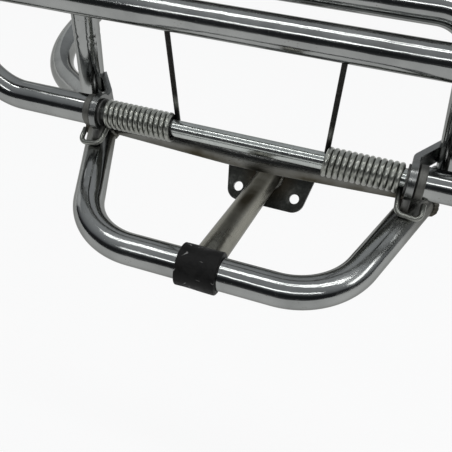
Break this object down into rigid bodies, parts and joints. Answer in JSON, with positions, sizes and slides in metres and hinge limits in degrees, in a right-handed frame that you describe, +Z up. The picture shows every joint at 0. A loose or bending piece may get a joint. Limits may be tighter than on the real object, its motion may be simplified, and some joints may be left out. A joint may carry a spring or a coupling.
{
  "type": "scooter rear grab handle",
  "caption": "Chromed tube grab handle and carrier for the rear of a scooter, with a folding loop held up by torsion springs, a rear hoop with a rubber sleeve, and a bolt-on plate.",
  "frame": {"origin": "midway between the two bolt holes, on the upper face of the mount plate", "axes": "+X to the scooter's right, +Y forwards, +Z up; the hinge axle runs along X"},
  "size_m": [0.412, 0.3261, 0.1856],
  "materials": {
    "chrome": "bright plated, lightly pitted",
    "dark_steel": "dull plated, stained",
    "zinc": "zinc plated, finely hatched",
    "collar_steel": "matt",
    "spring_steel": "dull plated",
    "rubber": "matt, scuffed"
  },
  "bodies": {
    "frame": {"main_rail": "chrome", "rear_hoop": "chrome", "grab_hoop": "chrome", "stay_tube": "chrome", "hinge_lug_right": "chrome", "hinge_lug_left": "chrome", "mount_plate": "dark_steel", "arm_tab_right": "dark_steel", "arm_tab_left": "dark_steel", "washer_right": "zinc", "washer_left": "zinc", "spring_right": "spring_steel", "spring_left": "spring_steel", "rubber_sleeve": "rubber"},
    "flap": {"flap_loop": "chrome", "end_collar_right": "collar_steel", "end_collar_left": "collar_steel", "hinge_axle": "zinc"}
  },
  "joints": [
    {"name": "flap_fold", "type": "hinge", "parent": "frame", "child": "flap", "pos_m": [0, -0.047, 0.083], "axis": [1, 0, 0], "range_deg": [0, 100], "stiffness_Nm_per_rad": 3.2, "springref_deg": -20.05, "deforming": ["spring_right", "spring_left"]}
  ]
}
